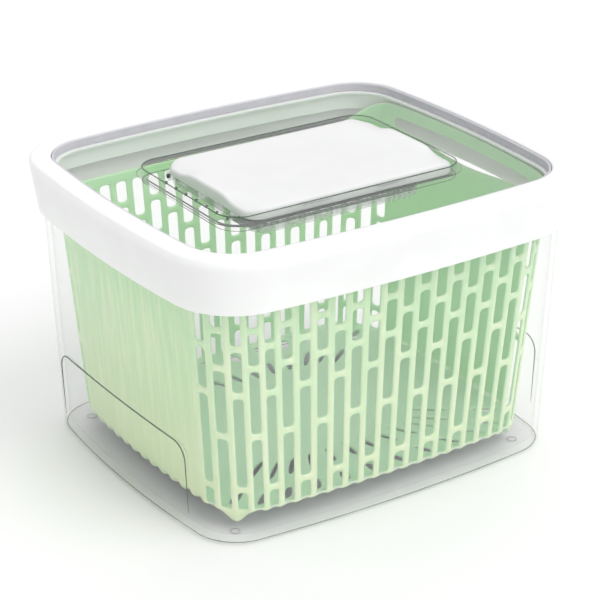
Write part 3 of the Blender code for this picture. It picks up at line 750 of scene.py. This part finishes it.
def make_lid_panel():
    """Clear plate with a rounded window for the vent housing."""
    detail = {"short": 10, "corner": 24, "long": 12}
    outer = HALF_X - PANEL_HIGH.x
    rings = []
    for inset, z in ((0.0, PANEL_LOW.z), (0.0, PANEL_HIGH.z - PANEL_EDGE),
                     (PANEL_EDGE, PANEL_HIGH.z)):
        rings.append(lid_ring(outer + inset, z))
    for grow, z in ((GAP + PANEL_EDGE, PANEL_HIGH.z), (GAP, PANEL_HIGH.z - PANEL_EDGE),
                    (GAP, PANEL_LOW.z)):
        loop = outline(HOUSING_HALF_X + grow, HOUSING_HALF_Y + grow, HOUSING_R + grow, **detail)
        rings.append(ring_at(loop, z))
    piece(loft(rings, closed=True), "lid_panel_plate", "lid", MATS["panel"],
          ("lid_panel",))


# ---------------------------------------------------------------- vent and filter

def plate_ring(half_x, half_y, radius, z, shift=0.0):
    loop = outline(half_x, half_y, radius, corner=12, short=8, long=8)
    return [Vector((p.x + shift, p.y, z)) for p in loop]


def housing_ring(offset, z):
    return plate_ring(HOUSING_HALF_X + offset, HOUSING_HALF_Y + offset, HOUSING_R + offset, z)


def rounded_block(name, low, high, body, mat, radius=0.35):
    """A small moulded block with rounded edges."""
    bm = bmesh.new()
    bmesh.ops.create_cube(bm, size=1.0)
    for vert in bm.verts:
        for k in range(3):
            vert.co[k] = high[k] if vert.co[k] > 0 else low[k]
    bmesh.ops.bevel(bm, geom=bm.edges[:], offset=radius, segments=3, profile=0.6,
                    affect="EDGES")
    return piece(bm, name, body, mat)


def make_vent_housing():
    top = PANEL_LOW.z - GAP
    rings = [
        housing_ring(-0.6, HOUSING_LOW_Z),
        housing_ring(0.0, HOUSING_LOW_Z + 0.6),
        housing_ring(0.0, top - FLANGE_THICK),
        housing_ring(FLANGE_REACH, top - FLANGE_THICK),
        housing_ring(FLANGE_REACH, top),
        housing_ring(0.0, top),
        housing_ring(0.0, HOUSING_Z - 0.3),
        housing_ring(-0.3, HOUSING_Z),
        housing_ring(-HOUSING_WALL + 0.3, HOUSING_Z),
        housing_ring(-HOUSING_WALL, HOUSING_Z - 0.3),
        housing_ring(-HOUSING_WALL, RECESS_Z + 0.6),
        housing_ring(-HOUSING_WALL - 0.6, RECESS_Z),
    ]
    housing = piece(loft(rings), "vent_housing_shell", "lid", MATS["housing"],
                    ("vent_housing",))
    # Dark beads of painted shade along the housing's rim, flange and foot.
    for label, offset, z, radius, mat in (
            ("rim", -0.15, HOUSING_Z - 0.32, 0.32, "edge"),
            ("flange", FLANGE_REACH - 0.2, top - FLANGE_THICK, 0.2, "soft_edge_shade"),
            ("foot", -0.3, HOUSING_LOW_Z + 0.3, 0.25, "soft_edge_shade")):
        bead_line("housing_edge_shade_" + label, housing_ring(offset, z), radius, "lid",
                  mat, True)
    row_x = -(HOUSING_HALF_X - HOUSING_WALL - VENT_INSET)
    for k in range(VENT_COUNT):
        y = (k - (VENT_COUNT - 1) / 2) * VENT_PITCH
        make_vent_ring("vent_hole_%d" % k, Vector((row_x, y, RECESS_Z)))
    for side, label in ((-1, "left"), (1, "right")):
        x = side * TAB_X
        rounded_block("housing_tab_" + label,
                      (x - TAB_WIDTH / 2, -HOUSING_HALF_Y - FLANGE_REACH, PANEL_HIGH.z + GAP),
                      (x + TAB_WIDTH / 2, -HOUSING_HALF_Y + 0.6, PANEL_HIGH.z + GAP + TAB_HEIGHT),
                      "lid", MATS["housing"])
        lug_x = HINGE.x + side * (BARREL_HALF + GAP + LUG_THICK / 2)
        rounded_block("hinge_lug_" + label,
                      (lug_x - LUG_THICK / 2, HINGE.y - LUG_HALF, HINGE.z - LUG_HALF),
                      (lug_x + LUG_THICK / 2, HINGE.y + LUG_HALF, HOUSING_LOW_Z + 0.3),
                      "lid", MATS["housing"])
    return housing


def make_vent_ring(name, centre):
    """Painted shadow in one vent hole: a short dark sleeve in the recess's floor."""
    count = 20
    rings = []
    for share, lift in ((VENT_SHADOW_OUTER, 0.02), (VENT_SHADOW_RIM, 0.1),
                        (VENT_SHADOW_HOLE, 0.1), (VENT_SHADOW_HOLE, -VENT_SHADOW_DEPTH),
                        (VENT_SHADOW_OUTER, -VENT_SHADOW_DEPTH)):
        radius = VENT_R * share
        rings.append([centre + Vector((radius * math.cos(k / count * math.tau),
                                       radius * math.sin(k / count * math.tau), lift))
                      for k in range(count)])
    piece(loft(rings, closed=True), name, "lid", MATS["opening"])


def make_vent_cover():
    """White cover. Each end rises to a finger crest in its middle and falls to its corners."""
    centre_x = (COVER_LOW.x + COVER_HIGH.x) / 2
    half_x = (COVER_HIGH.x - COVER_LOW.x) / 2
    half_y = COVER_HIGH.y

    def top_z(x, y):
        near_end = smooth_step((abs(x - centre_x) - (half_x - CREST_REACH)) / CREST_REACH)
        away = smooth_step((abs(y) - CREST_HALF) / CREST_FALL_WIDTH)
        return COVER_HIGH.z + near_end * (CREST_RISE - (CREST_RISE + CREST_FALL) * away)

    foot = COVER_FOOT_EDGE
    rings = [plate_ring(half_x - foot, half_y - foot, COVER_R - foot, COVER_LOW.z, centre_x),
             plate_ring(half_x, half_y, COVER_R, COVER_LOW.z + foot, centre_x)]
    steps = 5
    for step in range(steps + 1):
        turn = step / steps * math.pi / 2
        tuck = COVER_EDGE * (1 - math.cos(turn))
        ring = plate_ring(half_x - tuck, half_y - tuck, COVER_R - tuck, 0.0, centre_x)
        for p in ring:
            p.z = top_z(p.x, p.y) - COVER_EDGE * (1 - math.sin(turn))
        rings.append(ring)
    bm = bmesh.new()
    verts = bridge_rows(bm, rings)
    bm.faces.new(list(reversed(verts[0])))
    shares = [1 - k / COVER_TOP_RINGS for k in range(1, COVER_TOP_RINGS)]
    last = verts[-1]
    for share in shares:
        ring = [Vector((centre_x + (v.co.x - centre_x) * share, v.co.y * share, 0.0))
                for v in verts[-1]]
        for p in ring:
            p.z = top_z(p.x, p.y)
        fresh = [bm.verts.new(p) for p in ring]
        for k in range(len(fresh)):
            nxt = (k + 1) % len(fresh)
            bm.faces.new((last[k], last[nxt], fresh[nxt], fresh[k]))
        last = fresh
    bm.faces.new(last)
    piece(bm, "vent_cover_slider", "vent_cover", MATS["cover"], ("vent_cover",))


def rod(bm, centre, radius, length, sides=24):
    """Adds a round bar along X to a bmesh."""
    turn = Matrix.Rotation(math.pi / 2, 4, "Y")
    made = bmesh.ops.create_cone(bm, cap_ends=True, segments=sides, radius1=radius,
                                 radius2=radius, depth=length)
    bmesh.ops.transform(bm, matrix=Matrix.Translation(centre) @ turn, verts=made["verts"])


def make_filter_door():
    section = [(1.6, DOOR_LOW.z), (0.5, DOOR_LOW.z + 0.5), (0.0, DOOR_LOW.z + 1.6),
               (0.0, DOOR_HIGH.z), (DOOR_WALL, DOOR_HIGH.z), (DOOR_WALL, DOOR_LOW.z + DOOR_WALL)]
    rings = [plate_ring(DOOR_HALF_X - inset, DOOR_BACK_Y - inset, DOOR_R - inset, z, HINGE.x)
             for inset, z in section]
    piece(loft(rings), "filter_tray", "filter_door", MATS["tray"], ("filter_door",))
    bm = bmesh.new()
    rod(bm, HINGE, BARREL_R, BARREL_HALF * 2)
    piece(bm, "filter_tray_barrel", "filter_door", MATS["tray"])
    bm = bmesh.new()
    rod(bm, HINGE, PIN_R, (BARREL_HALF + GAP + LUG_THICK) * 2)
    piece(bm, "filter_tray_pin", "filter_door", MATS["housing"])


def make_carbon_filter():
    """A flat sachet, pillowed between its crimped edges."""
    middle = (FILTER_LOW + FILTER_HIGH) / 2
    half = (FILTER_HIGH - FILTER_LOW) / 2
    bm = bmesh.new()
    steps = 8
    rows = []
    for side in (-1, 1):
        shares = [k / steps for k in range(1, steps + 1)]
        order = shares if side < 0 else list(reversed(shares))
        for share in order:
            rise = math.sqrt(max(1 - share ** 4, 0.0))
            ring = plate_ring(half.x * share, half.y * share, FILTER_R * share, 0.0, middle.x)
            for p in ring:
                p.z = middle.z + side * half.z * max(rise, FILTER_CRIMP)
            rows.append(ring)
    verts = bridge_rows(bm, rows)
    bm.faces.new(list(reversed(verts[0])))
    bm.faces.new(verts[-1])
    piece(bm, "carbon_sachet", "filter_door", MATS["filter"], ("carbon_filter",))


# ---------------------------------------------------------------- basket

def basket_half(z):
    inset = FRAME_WIDTH + SIDE_FIT
    share = (z - FLOOR_Z) / (PANEL_HIGH.z - FLOOR_Z)
    return (
        HALF_X - inset - TUCK_X * (1 - share),
        HALF_Y - inset - TUCK_Y * (1 - share),
        BASKET_R_BASE + (BASKET_R_TOP - BASKET_R_BASE) * share,
        BASKET_BOW,
    )


def column_stations():
    """Both edges of every slot column in a quarter, as shares of its three arcs."""
    arcs = quarter_arcs(*basket_half((FLOOR_Z + PANEL_HIGH.z) / 2))
    lengths = [reach * (high - low) for _, reach, low, high in arcs]
    corner_middle = lengths[0] + lengths[1] / 2
    straight = sum(lengths) - COLUMN_PITCH * COLUMNS_LONG
    edges = [corner_middle * k / COLUMNS_END for k in range(COLUMNS_END)]
    edges += [corner_middle + (straight - corner_middle) * k / COLUMNS_BEND
              for k in range(COLUMNS_BEND)]
    edges += [straight + COLUMN_PITCH * k for k in range(COLUMNS_LONG + 1)]
    stations = ([], [], [])
    for start, stop in zip(edges, edges[1:]):
        for side in (-1, 1):
            place = (start + stop) / 2 + side * (stop - start) * SLOT_SHARE / 2
            arc = 0
            while place > lengths[arc]:
                place -= lengths[arc]
                arc += 1
            stations[arc].append(place / lengths[arc])
    return stations


STATIONS = column_stations()
LOOPS = {}


def basket_loop(z, inset):
    key = (round(z, 4), round(inset, 4))
    if key not in LOOPS:
        half_x, half_y, radius, bow = basket_half(z)
        quarter = quadrant(half_x - inset, half_y - inset, radius - inset, bow, STATIONS)
        LOOPS[key] = whole_loop(quarter, False)
    return LOOPS[key]


def rim_heights(loop):
    swoop_in = basket_half(LOW_RIM_Z)[0] - BASKET_R_TOP + SWOOP_START
    return [LOW_RIM_Z + (HIGH_RIM_Z - LOW_RIM_Z)
            * smooth_step((abs(p.x) - swoop_in) / SWOOP_LENGTH) for p in loop]


def hand_low(y, top):
    share = smooth_step(abs(y) / HAND_HALF)
    return top - HAND_MID + (HAND_MID - HAND_END) * share


def bridge_z(share):
    return SLOT_LOW_Z + (SLOT_TOP_Z - SLOT_LOW_Z) * share


def foot_lines():
    """Grid lines on both sides of the rib in the middle of each corner."""
    middle = 2 * COLUMNS_END
    half = 4 * COLUMNS_QUARTER
    lines = []
    for base in (0, half):
        lines += [base + middle - 1, base + middle]
        lines += [base + half - middle, base + half - middle - 1]
    return lines


def column_kind(index):
    place = index % (2 * COLUMNS_QUARTER)
    place = place if place < COLUMNS_QUARTER else 2 * COLUMNS_QUARTER - 1 - place
    if place >= COLUMNS_END - COLUMNS_SLOTTED_END:
        return "A" if index % 2 else "B"
    return "end"


def basket_levels():
    """Heights of the rows under the rim, with easing rows beside every bridge."""
    levels = {SLOT_TOP_Z, SLOT_TOP_Z - BRIDGE_EASE, SLOT_LOW_Z}
    for share in BRIDGES["A"] + BRIDGES["B"]:
        for side in (-1, 1):
            levels.add(bridge_z(share) + side * BRIDGE / 2)
            levels.add(bridge_z(share) + side * (BRIDGE / 2 + BRIDGE_EASE))
    return sorted(levels, reverse=True)


def basket_rows(levels, bend_steps, shares):
    """The outer and the inner skin's rows of points, from the rim to the floor's hub."""
    guide = basket_loop(LOW_RIM_Z, 0.0)
    rims = rim_heights(guide)
    feet = foot_lines()
    skins = []
    for inset in (0.0, WALL):
        rows = []
        for number in range(RIM_ROWS):
            row = []
            for k, p in enumerate(guide):
                slot_top = max(rims[k] - HAND_DROP, SLOT_TOP_Z + 2 * PLAIN_ROW)
                slot_low = max(hand_low(p.y, slot_top), SLOT_TOP_Z + PLAIN_ROW)
                z = (rims[k], rims[k] - RIM_EASE, slot_top, slot_low)[number]
                row.append(Vector((*basket_loop(z, inset)[k], z)))
            rows.append(row)
        rows += [ring_at(basket_loop(z, inset), z) for z in levels]
        for step in range(1, bend_steps + 1):
            angle = step / bend_steps * math.pi / 2
            reach = BEND_R - inset
            loop = basket_loop(SLOT_LOW_Z, inset + reach * (1 - math.cos(angle)))
            rows.append(ring_at(loop, SLOT_LOW_Z - reach * math.sin(angle)))
        if inset == 0.0:
            for k in feet:
                toe = rows[-bend_steps - 1][k].lerp(rows[-1][k], 0.5)
                heel = rows[-1][k] * FOOT_HEEL
                rows[-2][k] = Vector((toe.x, toe.y, FOOT_Z))
                rows[-1][k] = Vector((heel.x, heel.y, FOOT_Z))
        edge = basket_loop(SLOT_LOW_Z, BEND_R)
        for share in shares:
            rows.append([Vector((p.x * share, p.y * share, FLOOR_Z + inset)) for p in edge])
        skins.append(rows)
    return skins


def row_kinds(levels, bend_steps, shares):
    """For each row of cells, the kinds of column that are open there."""
    spans = [set(), set(), {"hand"}, set()]
    for top, low in zip(levels, levels[1:]):
        middle = (top + low) / 2
        spans.append({kind for kind, bridges in BRIDGES.items()
                      if all(abs(middle - bridge_z(s)) > BRIDGE / 2 for s in bridges)})
    spans.append({"A", "B"})
    spans += [set() for _ in range(bend_steps - 1)]
    edges = [1.0] + shares
    for top, low in zip(edges, edges[1:]):
        middle = (top + low) / 2
        inside = any(b < middle < a for a, b in FLOOR_BRICKS)
        spans.append({"A"} if inside else set())
    return spans


def make_basket():
    """Both skins over one grid: slots left out, the bend hollowed, rounded by subdivision."""
    levels = basket_levels()
    shares = [0.97, 0.84, 0.80, 0.76, 0.72, 0.54, 0.50, 0.46, FLOOR_HUB, 0.2]
    outer, inner = basket_rows(levels, BEND_STEPS, shares)
    spans = row_kinds(levels, BEND_STEPS, shares)
    lines = len(outer[0])
    solid = {}
    for row, kinds in enumerate(spans):
        for line in range(lines):
            nxt = (line + 1) % lines
            is_slot_column = line % 2 == 0
            opened = False
            if "hand" in kinds:
                p = outer[row][line]
                q = outer[row][nxt]
                opened = max(abs(p.y), abs(q.y)) < HAND_HALF and abs(p.x) > HALF_X * 0.6
            elif kinds and is_slot_column:
                opened = column_kind(line // 2) in kinds
            solid[row, line] = not opened
    bm = bmesh.new()
    grid = []
    for skin in (outer, inner):
        grid.append([[bm.verts.new(p) for p in ring] for ring in skin])
    hubs = [bm.verts.new((0.0, 0.0, FLOOR_Z + inset)) for inset in (0.0, WALL)]
    rows = len(spans)
    first_bend = RIM_ROWS - 1 + len(levels)
    bend_rows = range(first_bend, first_bend + BEND_STEPS)
    hollows = []
    for (row, line), filled in solid.items():
        if not filled:
            continue
        nxt = (line + 1) % lines
        a, b = grid
        skin_face = bm.faces.new((a[row][line], a[row][nxt], a[row + 1][nxt], a[row + 1][line]))
        on_foot = min(v.co.z for v in skin_face.verts) < FOOT_Z + 0.1
        if line % 2 == 0 and row in bend_rows and not on_foot:
            hollows.append(skin_face)
        bm.faces.new((b[row][line], b[row + 1][line], b[row + 1][nxt], b[row][nxt]))
        if not solid[row, (line - 1) % lines]:
            bm.faces.new((a[row][line], a[row + 1][line], b[row + 1][line], b[row][line]))
        if not solid[row, nxt]:
            bm.faces.new((a[row][nxt], b[row][nxt], b[row + 1][nxt], a[row + 1][nxt]))
        if row == 0 or not solid[row - 1, line]:
            bm.faces.new((a[row][line], b[row][line], b[row][nxt], a[row][nxt]))
        if row < rows - 1 and not solid[row + 1, line]:
            bm.faces.new((a[row + 1][line], a[row + 1][nxt], b[row + 1][nxt], b[row + 1][line]))
    for skin, hub in zip(grid, hubs):
        for line in range(lines):
            bm.faces.new((skin[rows][line], skin[rows][(line + 1) % lines], hub))
    for vert in [v for v in bm.verts if not v.link_faces]:
        bm.verts.remove(vert)
    bmesh.ops.recalc_face_normals(bm, faces=bm.faces)
    bmesh.ops.inset_region(bm, faces=hollows, thickness=HOLLOW_EDGE, depth=-HOLLOW_DEPTH,
                           use_boundary=True, use_even_offset=True)
    obj = piece(bm, "basket_body", "basket", MATS["basket"], ("basket",), sharp=0)
    mod = obj.modifiers.new("rounding", "SUBSURF")
    mod.levels = 2
    mod.render_levels = mod.levels
    return obj


# ---------------------------------------------------------------- stage

FLOOR_HALF = 60.0
FLOOR_DROP = 0.0002      # metres under the object, so that the two don't share a plane
WORLD_LIGHT = 0.70
LENS_MM = 127.6
SENSOR_MM = 36.0
CAMERA_PLACE = (-0.5039, -0.7603, 0.4804)
CAMERA_BACK = (-0.5044, -0.7592, 0.4114)
CAMERA_SHIFT = (-0.0031, -0.0023)

def make_stage():
    bm = bmesh.new()
    bmesh.ops.create_grid(bm, x_segments=2, y_segments=2, size=FLOOR_HALF)
    mesh = bpy.data.meshes.new("floor")
    bm.to_mesh(mesh)
    bm.free()
    floor = bpy.data.objects.new("floor", mesh)
    floor.location = (0.0, 0.0, -FLOOR_DROP)
    bpy.context.scene.collection.objects.link(floor)
    n = Nodes("floor_pale")
    n.colour(n.mix(n.noise(3.0, 2.0), (0.95, 0.95, 0.95), (0.97, 0.97, 0.97)))
    n.shader.inputs["Roughness"].default_value = 0.9
    mesh.materials.append(n.mat)


def soft_sun(name, direction, spread, strength):
    """A broad, even light. direction points from the object towards it."""
    data = bpy.data.lights.new(name, "SUN")
    data.angle = math.radians(spread)
    data.energy = strength
    light = bpy.data.objects.new(name, data)
    light.rotation_euler = Vector(direction).to_track_quat("Z", "Y").to_euler()
    bpy.context.scene.collection.objects.link(light)


def make_lights():
    world = bpy.data.worlds.new("soft_white")
    world.use_nodes = True
    background = world.node_tree.nodes["Background"]
    background.inputs["Color"].default_value = (1.0, 1.0, 1.0, 1.0)
    background.inputs["Strength"].default_value = WORLD_LIGHT
    bpy.context.scene.world = world
    soft_sun("key", (0.30, -0.62, 1.0), 40.0, 1.0)
    soft_sun("front", (0.05, -0.90, 0.45), 50.0, 0.45)
    soft_sun("back", (0.35, 0.75, 0.9), 50.0, 0.45)
    bpy.context.scene.view_settings.view_transform = "Standard"


def make_camera():
    data = bpy.data.cameras.new("photo_view")
    data.lens = LENS_MM
    data.sensor_width = SENSOR_MM
    data.shift_x, data.shift_y = CAMERA_SHIFT
    camera = bpy.data.objects.new("photo_view", data)
    camera.location = CAMERA_PLACE
    camera.rotation_euler = Vector(CAMERA_BACK).to_track_quat("Z", "Y").to_euler()
    bpy.context.scene.collection.objects.link(camera)
    bpy.context.scene.camera = camera


make_bin()
make_grip_edges()
make_base_edge()
make_dimples()
make_basket()
make_lid_frame()
make_lid_seal()
make_lid_panel()
make_vent_housing()
make_vent_cover()
make_filter_door()
make_carbon_filter()
make_stage()
make_lights()
make_camera()
